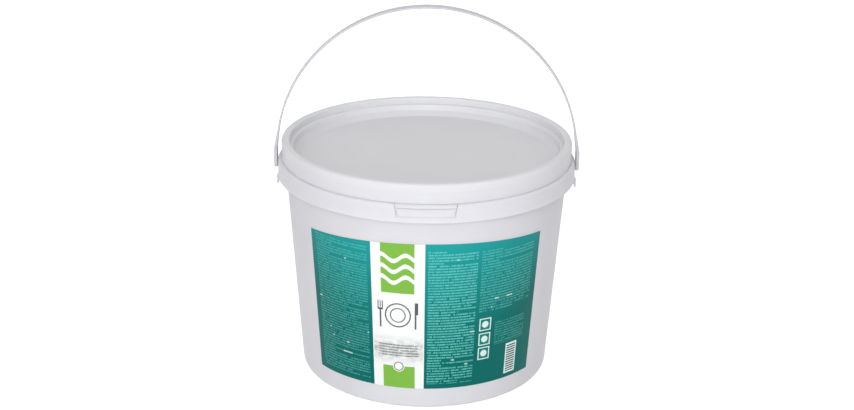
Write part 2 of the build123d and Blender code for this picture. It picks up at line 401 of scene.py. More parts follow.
# Tamper panel: part of the polypropylene collar that is torn off at the first opening.
# Slanted slits run from the ledge down each side, with a tear slit between them and a score line below.
panel_half = 20.9 * mm
slit_half = 0.13 * mm
slit_bottom = 7.7 * mm
slit_past = 1.2 * mm
past_lean = 1.3
panel_slant = radians(12.5)
tear_drop = 2.6 * mm
tear_bridge = 1.2 * mm
slit_near = -collar_radius - cut_past
neck_spared = 0.4 * mm
slit_far = -neck_radius - neck_spared
slit_steps = 8


def slit(start, end):
    """A thin cutter with round ends along a line in X and Z, through the collar's front."""
    along = (Vector(end) - Vector(start)).normalized()
    outline = []
    for middle, heading in ((Vector(end), along), (Vector(start), -along)):
        for step in range(slit_steps + 1):
            turn = pi * step / slit_steps - pi / 2
            outline.append(middle + Matrix.Rotation(turn, 2) @ heading * slit_half)
    return prism("slit", outline, slit_near, slit_far)


lean = slit_bottom / 2 * tan(panel_slant)
for side in (1, -1):
    top = (side * (panel_half + lean * past_lean), collar_top + slit_past)
    bottom = (side * (panel_half - lean), collar_top - slit_bottom)
    cutters.append(slit(top, bottom))
tear_height = collar_top - tear_drop
tear_half = panel_half + (slit_bottom / 2 - tear_drop) * tan(panel_slant) - tear_bridge - slit_half
cutters.append(slit((-tear_half, tear_height), (tear_half, tear_height)))
carved(tub, joined(cutters), "DIFFERENCE")
score_height = collar_top - 8.6 * mm
score_depth = 0.4 * mm
score_foot = 0.2 * mm
score_mouth = 0.3 * mm
score_reach = asin(panel_half / collar_radius)
score_steps = 48
score_inner = collar_radius_at(score_height) - score_depth
score_outline = [(0, score_foot), (cut_past, score_mouth), (cut_past, -score_mouth), (0, -score_foot)]
score = bmesh.new()
score_rows = []
for step in range(score_steps + 1):
    angle = -pi / 2 + score_reach * (2 * step / score_steps - 1)
    ring = []
    for across, up in score_outline:
        radius = score_inner + across
        ring.append(score.verts.new((radius * cos(angle), radius * sin(angle), score_height + up)))
    score_rows.append(ring)
for here, ahead in zip(score_rows, score_rows[1:]):
    for step in range(len(here)):
        beside = (step + 1) % len(here)
        score.faces.new((here[step], here[beside], ahead[beside], ahead[step]))
score.faces.new(score_rows[0])
score.faces.new(score_rows[-1])
carved(tub, finished("score", score), "DIFFERENCE")


def smooth(piece, name, material, crease=35):
    """Name a piece, give it its material, and shade it smooth up to a crease angle in degrees."""
    piece.name = name
    piece.data.name = name
    piece.data.materials.clear()
    piece.data.materials.append(material)
    piece.data.polygons.foreach_set("use_smooth", [True] * len(piece.data.polygons))
    piece.data.set_sharp_from_angle(angle=radians(crease))
    return piece


smooth(tub, "tub_moulding", tub_plastic)
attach(tub, "tub")
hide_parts("tub")

# Tablets: pressed detergent powder, each flow-wrapped in a thin film with a crimped fin at both ends.
# They lie in rings, layer on layer, with a few on top.
tablet_length = 38.0 * mm
tablet_width = 28.0 * mm
tablet_height = 14.6 * mm
tablet_gap = 0.2 * mm
ring_gap = 1.0 * mm
layer_pitch = tablet_height + tablet_gap
full_layers = 6
first_middle = panel_lift + floor_thickness + tablet_gap + tablet_height / 2


def ring_radius(limit):
    """Middle radius of a ring of tablets whose outer corners stay inside a limit."""
    return sqrt((limit - ring_gap) ** 2 - (tablet_length / 2) ** 2) - tablet_width / 2


outer_ring = ring_radius(wall_radius(panel_lift + floor_thickness) - wall_thickness)
inner_ring = ring_radius(outer_ring - tablet_width / 2)

# The powder is pressed in two layers, white below and blue above, and speckled by its grains;
# the film over it is smooth, shiny and loosely creased
speck_width = 1.6 * mm
crease_width = 5 * mm
crease_depth = 0.5 * mm
soluble_wrap = bpy.data.materials.new("crimped film over pressed powder")
soluble_wrap.use_nodes = True
wrap_tree = soluble_wrap.node_tree
wrap_place = add_node(wrap_tree, "ShaderNodeTexCoord").outputs["Object"]
wrap_rise = add_node(wrap_tree, "ShaderNodeAttribute", attribute_name="tablet_rise").outputs["Fac"]
wrap_layers = add_node(wrap_tree, "ShaderNodeValToRGB", {"Fac": wrap_rise})
for element, (rise, code) in zip(wrap_layers.color_ramp.elements, ((0.58, "#e8edf0"), (0.62, "#8fb6d8"))):
    element.position = rise
    element.color = linear(code)
wrap_specks = add_node(wrap_tree, "ShaderNodeTexVoronoi", {"Vector": wrap_place, "Scale": 1 / speck_width})
wrap_spots = add_node(
    wrap_tree,
    "ShaderNodeMapRange",
    {"Value": wrap_specks.outputs["Distance"], "From Min": 0.12, "From Max": 0.3},
)
wrap_tone = add_node(
    wrap_tree,
    "ShaderNodeMix",
    {"Factor": wrap_spots.outputs["Result"], 6: linear("#5d93c4"), 7: wrap_layers.outputs["Color"]},
    data_type="RGBA",
)
wrap_creases = add_node(
    wrap_tree,
    "ShaderNodeTexNoise",
    {"Vector": wrap_place, "Scale": 1 / crease_width, "Detail": 3.0, "Distortion": 0.8},
)
wrap_relief = add_node(
    wrap_tree,
    "ShaderNodeBump",
    {"Height": wrap_creases.outputs["Fac"], "Strength": 0.35, "Distance": crease_depth},
)
wrap_shader = wrap_tree.nodes["Principled BSDF"]
wrap_tree.links.new(wrap_tone.outputs[2], wrap_shader.inputs["Base Color"])
wrap_tree.links.new(wrap_relief.outputs["Normal"], wrap_shader.inputs["Normal"])
wrap_shader.inputs["Roughness"].default_value = 0.28
wrap_shader.inputs["IOR"].default_value = 1.5

# One wrapped tablet: flat fins and a rounded body between them, as sections along its length,
# each with its half height and its share of the full width
tablet = bmesh.new()
fin_half = 0.35 * mm
fin_length = 4.0 * mm
body_half = tablet_length / 2 - fin_length
stations = [
    (-tablet_length / 2, fin_half, 0.86),
    (-body_half - 1.2 * mm, fin_half, 0.84),
    (-body_half, 4.4 * mm, 0.90),
    (-body_half + 2.4 * mm, tablet_height / 2 - 0.6 * mm, 0.98),
    (-body_half + 6 * mm, tablet_height / 2, 1.0),
]
stations += [(-along, half, share) for along, half, share in reversed(stations)]
section_points = 16
squareness = 0.75
rise_layer = tablet.verts.layers.float.new("tablet_rise")
sections = []
for along, half, share in stations:
    section = []
    for step in range(section_points):
        angle = 2 * pi * (step + 0.5) / section_points
        corner = max(abs(cos(angle)), abs(sin(angle))) ** squareness
        across = cos(angle) / corner * tablet_width / 2 * share
        up = sin(angle) / corner * half
        point = tablet.verts.new((across, along, up))
        point[rise_layer] = 0.5 + up / tablet_height
        section.append(point)
    sections.append(section)
for here, ahead in zip(sections, sections[1:]):
    for step in range(section_points):
        beside = (step + 1) % section_points
        tablet.faces.new((here[step], here[beside], ahead[beside], ahead[step]))
tablet.faces.new(sections[0])
tablet.faces.new(sections[-1])
tablets = finished("tablets", tablet)

layer_tree = bpy.data.node_groups.new("tablet layers", "GeometryNodeTree")
layer_tree.interface.new_socket("Geometry", in_out="INPUT", socket_type="NodeSocketGeometry")
layer_tree.interface.new_socket("Geometry", in_out="OUTPUT", socket_type="NodeSocketGeometry")
layer_inputs = {
    "Outer radius": ("NodeSocketFloat", outer_ring),
    "Outer count": ("NodeSocketInt", 10),
    "Inner radius": ("NodeSocketFloat", inner_ring),
    "Inner count": ("NodeSocketInt", 5),
    "Top count": ("NodeSocketInt", 4),
    "Layers": ("NodeSocketInt", full_layers),
    "Layer pitch": ("NodeSocketFloat", layer_pitch),
    "Layer turn": ("NodeSocketFloat", radians(18)),
    "First height": ("NodeSocketFloat", first_middle),
    "Wrap": ("NodeSocketMaterial", soluble_wrap),
}
layer_sockets = {
    name: layer_tree.interface.new_socket(name, in_out="INPUT", socket_type=kind)
    for name, (kind, value) in layer_inputs.items()
}
given = add_node(layer_tree, "NodeGroupInput").outputs
number = add_node(layer_tree, "GeometryNodeInputIndex").outputs[0]
rings = []
for count_name, places_name, radius_name in (
    ("Outer count", "Outer count", "Outer radius"),
    ("Inner count", "Inner count", "Inner radius"),
    ("Top count", "Inner count", "Inner radius"),
):
    share = add_node(
        layer_tree, "ShaderNodeMath", {0: 2 * pi, 1: given[places_name]}, operation="DIVIDE"
    ).outputs[0]
    angle = add_node(layer_tree, "ShaderNodeMath", {0: number, 1: share}, operation="MULTIPLY").outputs[0]
    out = add_node(layer_tree, "ShaderNodeCombineXYZ", {"X": given[radius_name]}).outputs[0]
    spot = add_node(
        layer_tree, "ShaderNodeVectorRotate", {"Vector": out, "Angle": angle}, rotation_type="Z_AXIS"
    ).outputs[0]
    spots = add_node(
        layer_tree, "GeometryNodePoints", {"Count": given[count_name], "Position": spot}
    ).outputs[0]
    facing = add_node(layer_tree, "ShaderNodeCombineXYZ", {"Z": angle}).outputs[0]
    ring = add_node(
        layer_tree,
        "GeometryNodeInstanceOnPoints",
        {"Points": spots, "Instance": given["Geometry"], "Rotation": facing},
    )
    rings.append(ring.outputs[0])
layer = add_node(layer_tree, "GeometryNodeJoinGeometry")
for part in (given["Geometry"], rings[0], rings[1]):
    layer_tree.links.new(part, layer.inputs[0])
stack = add_node(layer_tree, "GeometryNodeJoinGeometry")
for source, first, count in ((layer.outputs[0], 0, given["Layers"]), (rings[2], full_layers, 1)):
    level = add_node(
        layer_tree, "ShaderNodeMath", {0: number, 1: float(first)}, operation="ADD"
    ).outputs[0]
    rise = add_node(
        layer_tree,
        "ShaderNodeMath",
        {0: level, 1: given["Layer pitch"], 2: given["First height"]},
        operation="MULTIPLY_ADD",
    ).outputs[0]
    turn = add_node(
        layer_tree, "ShaderNodeMath", {0: level, 1: given["Layer turn"]}, operation="MULTIPLY"
    ).outputs[0]
    spot = add_node(layer_tree, "ShaderNodeCombineXYZ", {"Z": rise}).outputs[0]
    facing = add_node(layer_tree, "ShaderNodeCombineXYZ", {"Z": turn}).outputs[0]
    spots = add_node(layer_tree, "GeometryNodePoints", {"Count": count, "Position": spot}).outputs[0]
    stacked = add_node(
        layer_tree,
        "GeometryNodeInstanceOnPoints",
        {"Points": spots, "Instance": source, "Rotation": facing},
    )
    layer_tree.links.new(stacked.outputs[0], stack.inputs[0])
real = add_node(layer_tree, "GeometryNodeRealizeInstances", {"Geometry": stack.outputs[0]}).outputs[0]
painted = add_node(
    layer_tree, "GeometryNodeSetMaterial", {"Geometry": real, "Material": given["Wrap"]}
).outputs[0]
add_node(layer_tree, "NodeGroupOutput", {"Geometry": painted})
pattern = tablets.modifiers.new("pattern", "NODES")
pattern.node_group = layer_tree
for name, (kind, value) in layer_inputs.items():
    pattern[layer_sockets[name].identifier] = value
settled(tablets)
smooth(tablets, "wrapped_tablets", soluble_wrap, crease=50)
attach(tablets, "tub")
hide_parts(*[f"tablets_layer_{layer + 1}" for layer in range(full_layers + 1)])

# Label: a printed gloss film stuck to the wall's cone, with a bowed top edge.
# Two dark panels of small print flank a white stripe with plain shapes on it.
label_bottom = 17.2 * mm
label_top = 132.5 * mm
label_bow = 4.5 * mm
label_half = radians(53.0)
label_adhesive = 0.1 * mm
label_thickness = 0.15 * mm
shoulder_half = wall_radius(label_top - label_bow) * sin(label_half)
bow_radius = (shoulder_half**2 + label_bow**2) / (2 * label_bow)
columns = 160
rows = 64
label_shape = bmesh.new()
label_map = label_shape.loops.layers.uv.new("print")
sheets = []
for stand in (label_adhesive, label_adhesive + label_thickness):
    sheet = []
    for column in range(columns + 1):
        angle = label_half * (2 * column / columns - 1)
        reach = shoulder_half * sin(angle) / sin(label_half)
        edge = label_top - bow_radius + sqrt(bow_radius**2 - reach**2)
        strip = []
        for row in range(rows + 1):
            height = label_bottom + (edge - label_bottom) * row / rows
            radius = wall_radius(height) + stand
            strip.append(label_shape.verts.new((radius * sin(angle), -radius * cos(angle), height)))
        sheet.append(strip)
    sheets.append(sheet)
for sheet in sheets:
    for here, ahead in zip(sheet, sheet[1:]):
        for row in range(rows):
            label_shape.faces.new((here[row], ahead[row], ahead[row + 1], here[row + 1]))
borders = []
for sheet in sheets:
    border = [strip[0] for strip in sheet] + sheet[-1][1:]
    border += [strip[-1] for strip in reversed(sheet[:-1])] + sheet[0][-2:0:-1]
    borders.append(border)
for step in range(len(borders[0])):
    ahead = (step + 1) % len(borders[0])
    label_shape.faces.new((borders[0][step], borders[0][ahead], borders[1][ahead], borders[1][step]))
for face in label_shape.faces:
    for loop in face.loops:
        x, y, height = loop.vert.co
        turn = asin(max(-1, min(1, x / sqrt(x * x + y * y))))
        rise = (height - label_bottom) / (label_top - label_bottom)
        loop[label_map].uv = ((turn / label_half + 1) / 2, rise)
label = finished("label", label_shape)

# The print is placed by across, in degrees round the tub from its front, by along, the same as a
# length on the film in millimetres, and by up, in millimetres from the tub's base
degree_length = 1.75
label_half_degrees = degrees(label_half)
printed_film = bpy.data.materials.new("printed gloss film")
printed_film.use_nodes = True
print_tree = printed_film.node_tree
print_map = add_node(print_tree, "ShaderNodeUVMap", uv_map="print").outputs[0]
print_axes = add_node(print_tree, "ShaderNodeSeparateXYZ", {0: print_map}).outputs
across = add_node(
    print_tree,
    "ShaderNodeMapRange",
    {"Value": print_axes[0], "To Min": -label_half_degrees, "To Max": label_half_degrees},
).outputs[0]
up = add_node(
    print_tree,
    "ShaderNodeMapRange",
    {"Value": print_axes[1], "To Min": label_bottom / mm, "To Max": label_top / mm},
).outputs[0]
along = add_node(
    print_tree, "ShaderNodeMath", {0: across, 1: degree_length}, operation="MULTIPLY"
).outputs[0]
film_spot = add_node(print_tree, "ShaderNodeCombineXYZ", {"X": along, "Y": up}).outputs[0]


def both(mask, other):
    """What two printed masks share, or a mask at the strength of its ink."""
    return add_node(print_tree, "ShaderNodeMath", {0: mask, 1: other}, operation="MULTIPLY").outputs[0]


def field(left, right, low, high):
    """1 inside a printed field between two turns and two heights, 0 outside."""
    sides = []
    for place, start, end in ((across, left, right), (up, low, high)):
        span = {0: place, 1: (start + end) / 2, 2: (end - start) / 2}
        sides.append(add_node(print_tree, "ShaderNodeMath", span, operation="COMPARE").outputs[0])
    return both(*sides)


def disc(turn, height, radius):
    """1 inside a printed disc about a turn and a height, 0 outside."""
    centre = (turn * degree_length, height, 0)
    away = add_node(
        print_tree, "ShaderNodeVectorMath", {0: film_spot, 1: centre}, operation="DISTANCE"
    ).outputs["Value"]
    return add_node(print_tree, "ShaderNodeMath", {0: away, 1: radius}, operation="LESS_THAN").outputs[0]


def over(under, mask, colour):
    """Print a colour over what is there, by the share that the mask gives."""
    mixed = add_node(print_tree, "ShaderNodeMix", {"Factor": mask, 6: under, 7: colour}, data_type="RGBA")
    return mixed.outputs[2]


def small_print(left, right, low, high, pitch, seed):
    """Rows of small print too fine to read, as broken dashes that are coarse enough to show,
    and a second mask for its few bold words."""
    letter_foot = 0.46
    row_shift = 7.3
    words_per_mm = 0.42
    strokes_per_mm = 1.6
    heads_per_mm = 0.11
    word_level = 0.35
    head_level = 0.79
    shortest_row = 0.3
    rows_up = add_node(print_tree, "ShaderNodeMath", {0: up, 1: pitch}, operation="DIVIDE").outputs[0]
    row = add_node(print_tree, "ShaderNodeMath", {0: rows_up}, operation="FLOOR").outputs[0]
    within = add_node(print_tree, "ShaderNodeMath", {0: rows_up}, operation="FRACT").outputs[0]
    letters = add_node(
        print_tree, "ShaderNodeMath", {0: within, 1: letter_foot}, operation="GREATER_THAN"
    ).outputs[0]
    shift = add_node(print_tree, "ShaderNodeMath", {0: row, 1: row_shift}, operation="MULTIPLY").outputs[0]
    spot = add_node(print_tree, "ShaderNodeCombineXYZ", {"X": along, "Y": shift, "Z": seed}).outputs[0]
    words, strokes, heads = [
        add_node(
            print_tree, "ShaderNodeTexNoise", {"Vector": spot, "Scale": scale, "Detail": detail}
        ).outputs[0]
        for scale, detail in ((words_per_mm, 1.0), (strokes_per_mm, 0.0), (heads_per_mm, 0.0))
    ]
    spaced, headed = [
        add_node(print_tree, "ShaderNodeMath", {0: noise, 1: level}, operation="GREATER_THAN").outputs[0]
        for noise, level in ((words, word_level), (heads, head_level))
    ]
    weight = add_node(
        print_tree,
        "ShaderNodeMapRange",
        {"Value": strokes, "From Min": 0.3, "From Max": 0.6, "To Min": 0.35},
    ).outputs[0]
    row_seed = add_node(print_tree, "ShaderNodeMath", {0: row, 1: seed}, operation="ADD").outputs[0]
    ends = add_node(
        print_tree, "ShaderNodeTexWhiteNoise", {"W": row_seed}, noise_dimensions="1D"
    ).outputs["Value"]
    shortest = left + (right - left) * shortest_row
    reach = add_node(
        print_tree,
        "ShaderNodeMapRange",
        {"Value": ends, "From Min": 0.06, "From Max": 0.16, "To Min": shortest, "To Max": right},
    ).outputs[0]
    running = add_node(
        print_tree, "ShaderNodeMath", {0: across, 1: reach}, operation="LESS_THAN"
    ).outputs[0]
    block = both(letters, field(left, right, low, high))
    light = both(both(block, running), both(spaced, weight))
    bold = both(block, headed)
    return light, bold


teal_top = linear("#23a4a3")
teal_foot = linear("#066c65")
square_teal = linear("#15877d")
stripe_white = linear("#fbfcfb")
lime = linear("#84bf4b")
print_tint = linear("#6ccfc8")
print_white = linear("#e4f4f1")
ink_grey = linear("#5b6164")
bar_black = linear("#26302f")
pale_grey = linear("#bcbfbf")

# Dark panels fade in their print from a lighter head to a deeper foot, and are darkened a little towards
# their outer ends as painted shade, where the curved wall turns from the light
fade_bend = 1.8
painted_end_shade = -0.35
fade = add_node(
    print_tree, "ShaderNodeMapRange", {"Value": up, "From Min": 20.0, "From Max": 130.0}
).outputs[0]
head_share = add_node(print_tree, "ShaderNodeMath", {0: fade, 1: fade_bend}, operation="POWER").outputs[0]
off_middle = add_node(print_tree, "ShaderNodeMapRange", {"Value": print_axes[0], "To Min": -1.0}).outputs[0]
# Painted shade towards the label's outer ends, growing with the square of the distance from its middle
painted_shade_share = both(off_middle, off_middle)
fade_and_painted_shade = add_node(
    print_tree, "ShaderNodeMath", {0: painted_shade_share, 1: painted_end_shade, 2: head_share}, operation="MULTIPLY_ADD"
).outputs[0]
colour = over(teal_foot, fade_and_painted_shade, teal_top)
# Blocks of small print: left, right, low, high, row pitch and strength of the ink
bold_strength = 0.65
small_blocks = [
    (-49.9, -23.8, 21.5, 127.5, 2.05, 0.42),
    (1.2, 21.4, 21.0, 127.5, 2.15, 0.8),
    (23.0, 49.2, 76.0, 124.5, 2.15, 0.47),
    (31.0, 47.5, 47.5, 66.0, 2.0, 0.4),
]
for seed, (left, right, low, high, pitch, strength) in enumerate(small_blocks, start=1):
    light, bold = small_print(left, right, low, high, pitch, float(seed))
    colour = over(colour, both(light, strength), print_tint)
    colour = over(colour, both(bold, bold_strength), print_white)
# Picture squares: a frame with a plain disc in each
for middle in (65.8, 53.9, 42.4):
    colour = over(colour, field(23.5, 29.0, middle - 5.0, middle + 5.0), print_white)
    colour = over(colour, field(24.0, 28.5, middle - 4.2, middle + 4.2), square_teal)
    colour = over(colour, disc(26.25, middle, 2.6), print_white)
# A plain white block with even bars
bar_pitch = 1.9
colour = over(colour, field(37.7, 44.0, 20.5, 45.5), print_white)
in_pitch = add_node(
    print_tree, "ShaderNodeMath", {0: up, 1: bar_pitch}, operation="FLOORED_MODULO"
).outputs[0]
bar = add_node(
    print_tree, "ShaderNodeMath", {0: in_pitch, 1: bar_pitch / 2}, operation="GREATER_THAN"
).outputs[0]
colour = over(colour, both(bar, field(38.4, 43.3, 22.0, 44.0)), bar_black)
# White stripe with two lime blocks, and waves across the upper one
wave_turn = 0.62
wave_height = 2.4
wave_half = 1.7
colour = over(colour, field(-22.0, 0.0, 0.0, 200.0), stripe_white)
upper_block = field(-17.9, -4.2, 93.5, 200.0)
colour = over(colour, upper_block, lime)
colour = over(colour, field(-17.7, -3.9, 0.0, 34.9), lime)
wave_angle = add_node(
    print_tree, "ShaderNodeMath", {0: across, 1: wave_turn}, operation="MULTIPLY"
).outputs[0]
swell = add_node(print_tree, "ShaderNodeMath", {0: wave_angle}, operation="SINE").outputs[0]
calm_up = add_node(
    print_tree, "ShaderNodeMath", {0: swell, 1: -wave_height, 2: up}, operation="MULTIPLY_ADD"
).outputs[0]
for level in (104.0, 112.5, 121.0):
    crest = add_node(
        print_tree, "ShaderNodeMath", {0: calm_up, 1: level, 2: wave_half}, operation="COMPARE"
    ).outputs[0]
    colour = over(colour, both(crest, upper_block), stripe_white)
# Plate in outline between a fork with three tines and a knife
plate_place = (-11.0, 76.0)
for radius, ink in ((9.6, ink_grey), (8.6, stripe_white), (5.8, ink_grey), (5.0, stripe_white)):
    colour = over(colour, disc(*plate_place, radius), ink)
for left, right, low, high in (
    (-18.75, -18.05, 65.5, 80.5),
    (-19.55, -17.25, 79.3, 80.7),
    (-19.55, -19.1, 80.0, 86.5),
    (-18.6, -18.2, 80.0, 86.5),
    (-17.7, -17.25, 80.0, 86.5),
    (-4.0, -3.3, 65.5, 78.0),
    (-4.0, -2.6, 77.0, 86.5),
):
    colour = over(colour, field(left, right, low, high), ink_grey)
# Soft grey cloud with lines of fine print over it
cloud_middle = 47.5
cloud_half = 13.0
clouds_per_mm = 0.3
fine_strength = 0.8
cloud_spot = add_node(print_tree, "ShaderNodeCombineXYZ", {"X": across, "Y": up}).outputs[0]
cloud_noise = add_node(
    print_tree, "ShaderNodeTexNoise", {"Vector": cloud_spot, "Scale": clouds_per_mm, "Detail": 4.0}
).outputs[0]
cloud_mask = add_node(
    print_tree, "ShaderNodeMapRange", {"Value": cloud_noise, "From Min": 0.3, "From Max": 0.6}
).outputs[0]
off_cloud = add_node(
    print_tree, "ShaderNodeMath", {0: up, 1: cloud_middle}, operation="SUBTRACT"
).outputs[0]
far_off = add_node(print_tree, "ShaderNodeMath", {0: off_cloud}, operation="ABSOLUTE").outputs[0]
cloud_share = add_node(
    print_tree,
    "ShaderNodeMapRange",
    {"Value": far_off, "From Max": cloud_half, "To Min": 1.0, "To Max": 0.0},
).outputs[0]
cloud_field = field(-21.6, -0.4, cloud_middle - cloud_half, cloud_middle + cloud_half)
colour = over(colour, both(both(cloud_mask, cloud_field), cloud_share), pale_grey)
light = small_print(-19.5, -2.6, 42.0, 52.5, 2.1, 5.0)[0]
colour = over(colour, both(light, fine_strength), ink_grey)
# Round badge on the head of the lower block
badge_place = (-10.8, 34.8)
for radius, ink in ((4.4, stripe_white), (3.7, ink_grey), (3.0, stripe_white)):
    colour = over(colour, disc(*badge_place, radius), ink)
film_shader = print_tree.nodes["Principled BSDF"]
print_tree.links.new(colour, film_shader.inputs["Base Color"])
# Gloss laminate: smooth, with a faint orange peel from the adhesive under it
peel_width = 6 * mm
peel_depth = 0.2 * mm
peel_place = add_node(print_tree, "ShaderNodeTexCoord").outputs["Object"]
peel = add_node(
    print_tree, "ShaderNodeTexNoise", {"Vector": peel_place, "Scale": 1 / peel_width, "Detail": 2.0}
).outputs["Fac"]
peel_relief = add_node(
    print_tree, "ShaderNodeBump", {"Height": peel, "Strength": 0.08, "Distance": peel_depth}
)
print_tree.links.new(peel_relief.outputs["Normal"], film_shader.inputs["Normal"])
film_shader.inputs["Roughness"].default_value = 0.34
film_shader.inputs["Specular IOR Level"].default_value = 0.08
film_shader.inputs["IOR"].default_value = 1.5
smooth(label, "label_film", printed_film)
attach(label, "tub")
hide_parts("label")

# Lid: one polypropylene moulding with a snap skirt, a rounded crest and a recessed centre panel.
# It snaps over the bead under the rim, and its recess takes the foot ring of the next tub.
crest_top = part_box("lid")[1].z
lid_thickness = 1.5 * mm
lid_clearance = 0.3 * mm
groove_top = rim_top + 0.2 * mm
groove_outer = neck_radius + lid_clearance
plug_radius = neck_inner - lid_clearance
bead_radius = neck_radius + bead_stand + lid_clearance
skirt_bottom = collar_top + 0.06 * mm
skirt_bead = 0.55 * mm
skirt_inner = bead_radius + skirt_bead
skirt_outer = skirt_inner + 1.05 * mm
crest_overhang = 0.2 * mm
crest_radius = skirt_outer + crest_overhang
crest_bottom = crest_top - 6.0 * mm
crest_inner = plug_radius - lid_thickness
ledge_top = crest_top - 5.2 * mm
recess_top_radius = crest_inner - 2.7 * mm
recess_wall = 4.3 * mm
cove_top = ledge_top - recess_wall
cove_radius = recess_top_radius - recess_wall * tan(radians(14.0))
panel_height = cove_top - 3.6 * mm
panel_radius = cove_radius - 4.6 * mm
# Roundings of the moulded edges
cove_round = 3.0 * mm
cove_under_round = 2.0 * mm
crest_round = 2.2 * mm
crest_inner_round = 1.0 * mm
recess_round = 0.6 * mm
groove_round = 0.4 * mm
skirt_bead_round = 0.3 * mm
skirt_round = 0.2 * mm
lid_section = [
    (0, panel_height, 0),
    (panel_radius, panel_height, cove_round),
    (cove_radius, cove_top, recess_round),
    (recess_top_radius, ledge_top, recess_round),
    (crest_inner, ledge_top, recess_round),
    (crest_inner, crest_top, crest_inner_round),
    (crest_radius, crest_top, crest_round),
    (crest_radius, crest_bottom, skirt_round),
    (skirt_outer, crest_bottom - crest_overhang, skirt_round),
    (skirt_outer, skirt_bottom, skirt_round),
    (skirt_inner, skirt_bottom, skirt_round),
    (bead_radius, skirt_bottom + skirt_bead, skirt_round),
    (skirt_inner - skirt_bead / 3, skirt_bottom + 3 * skirt_bead, skirt_bead_round),
    (groove_outer, groove_top, groove_round),
    (plug_radius, groove_top, groove_round),
    (plug_radius, ledge_top - lid_thickness, groove_round),
    (recess_top_radius + lid_thickness, ledge_top - lid_thickness, recess_round),
    (cove_radius + lid_thickness, cove_top - lid_thickness / 2, recess_round),
    (panel_radius + lid_thickness / 2, panel_height - lid_thickness, cove_under_round),
    (0, panel_height - lid_thickness, 0),
]
lid = turned("lid", rounded(lid_section, longest=6 * mm))
# The lid's plastic is painted a little lighter than the tub's: painted light for its thin crest and recess,
# lit through from behind
lid_plastic = moulded_polypropylene("moulded polypropylene, lid", "#ececf0", "#e5e5e9", 0.4)
smooth(lid, "lid_moulding", lid_plastic)
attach(lid, "lid")
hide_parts("lid")

# Bail: one polypropylene strap, moulded flat and sprung into an arch, with a wider grip at the top.
# Paddle ends hang outside the collar, and their headed studs snap into the ears.
bail_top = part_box("bail")[1].z
strap_thickness = 1.5 * mm
strap_depth = 6.5 * mm
grip_depth = 8.0 * mm
grip_half_length = 45.0 * mm
grip_blend = 8.0 * mm
arch_radius = collar_radius + 1.3 * mm
arch_centre = bail_top - arch_radius - strap_thickness / 2
paddle_inner = collar_radius_at(collar_bottom) + 0.5 * mm
paddle_thickness = 2.4 * mm
paddle_radius = 5.0 * mm
paddle_middle = paddle_inner + paddle_thickness / 2
paddle_top = pivot_height + 10.5 * mm
paddle_end = 0.99
blend_top = paddle_top + 15.5 * mm
grip_foot = arch_centre + sqrt(arch_radius**2 - grip_half_length**2)
strap_round = 0.5 * mm
most_round = 0.7
round_steps = 3
paddle_steps = 12
arch_steps = 72


def eased(share):
    """A smooth step from 0 to 1."""
    share = max(0.0, min(1.0, share))
    return share * share * (3 - 2 * share)


# Stations up one half of the strap: middle, way outwards, half thickness and half depth
half_stations = []
sideways = Vector((1, 0))
for step in range(paddle_steps + 1):
    drop = paddle_radius * paddle_end * cos(pi / 2 * step / paddle_steps)
    depth = sqrt(paddle_radius**2 - drop**2)
    middle = Vector((paddle_middle, pivot_height - drop))
    half_stations.append((middle, sideways, paddle_thickness / 2, depth))
middle = Vector((paddle_middle, paddle_top))
half_stations.append((middle, sideways, paddle_thickness / 2, paddle_radius))
first_angle = asin((blend_top - arch_centre) / arch_radius)
for step in range(arch_steps + 1):
    angle = first_angle + (pi / 2 - first_angle) * step / arch_steps
    outwards = Vector((cos(angle), sin(angle)))
    middle = Vector((0, arch_centre)) + outwards * arch_radius
    widen = eased((middle.y - grip_foot + grip_blend) / grip_blend)
    depth = strap_depth + (grip_depth - strap_depth) * widen
    half_stations.append((middle, outwards, strap_thickness / 2, depth / 2))
mirrored = [
    (Vector((-middle.x, middle.y)), Vector((-out.x, out.y)), thick, deep)
    for middle, out, thick, deep in half_stations
]
strap = bmesh.new()
strap_rings = []
for middle, out, thick, deep in half_stations + mirrored[-2::-1]:
    corner = min(strap_round, thick * most_round, deep * most_round)
    ring = []
    for quarter in range(4):
        for step in range(round_steps + 1):
            angle = pi / 2 * (quarter + step / round_steps)
            side_out = (thick - corner) * (1 if quarter in (0, 3) else -1) + corner * cos(angle)
            side_deep = (deep - corner) * (1 if quarter in (0, 1) else -1) + corner * sin(angle)
            spot = middle + out * side_out
            ring.append(strap.verts.new((spot.x, side_deep, spot.y)))
    strap_rings.append(ring)
for here, ahead in zip(strap_rings, strap_rings[1:]):
    for step in range(len(here)):
        beside = (step + 1) % len(here)
        strap.faces.new((here[step], here[beside], ahead[beside], ahead[step]))
strap.faces.new(strap_rings[0])
strap.faces.new(strap_rings[-1])
bail = finished("bail", strap)
stud_clearance = 0.05 * mm
stud_radius = bore_radius - stud_clearance
stud_head = boss_inner - 0.3 * mm
stud_end = stud_head - 1.0 * mm
stud_head_radius = 3.3 * mm
stud_round = 0.5 * mm
stud_head_round = 0.2 * mm
stud_run = 3 * mm
stud_section = [
    (0, stud_end, 0),
    (stud_head_radius, stud_end, stud_round),
    (stud_head_radius, stud_head, stud_head_round),
    (stud_radius, stud_head, 0),
    (stud_radius, paddle_middle, 0),
    (0, paddle_middle, 0),
]
studs = [on_side("stud", stud_section, stud_run, side, pivot_height) for side in (1, -1)]
carved(bail, joined(studs), "UNION")
bail_plastic = moulded_polypropylene("moulded polypropylene, bail", "#d3d3d8", "#ccccd1", 0.38)
smooth(bail, "bail_strap", bail_plastic)
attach(bail, "bail")
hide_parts("bail")

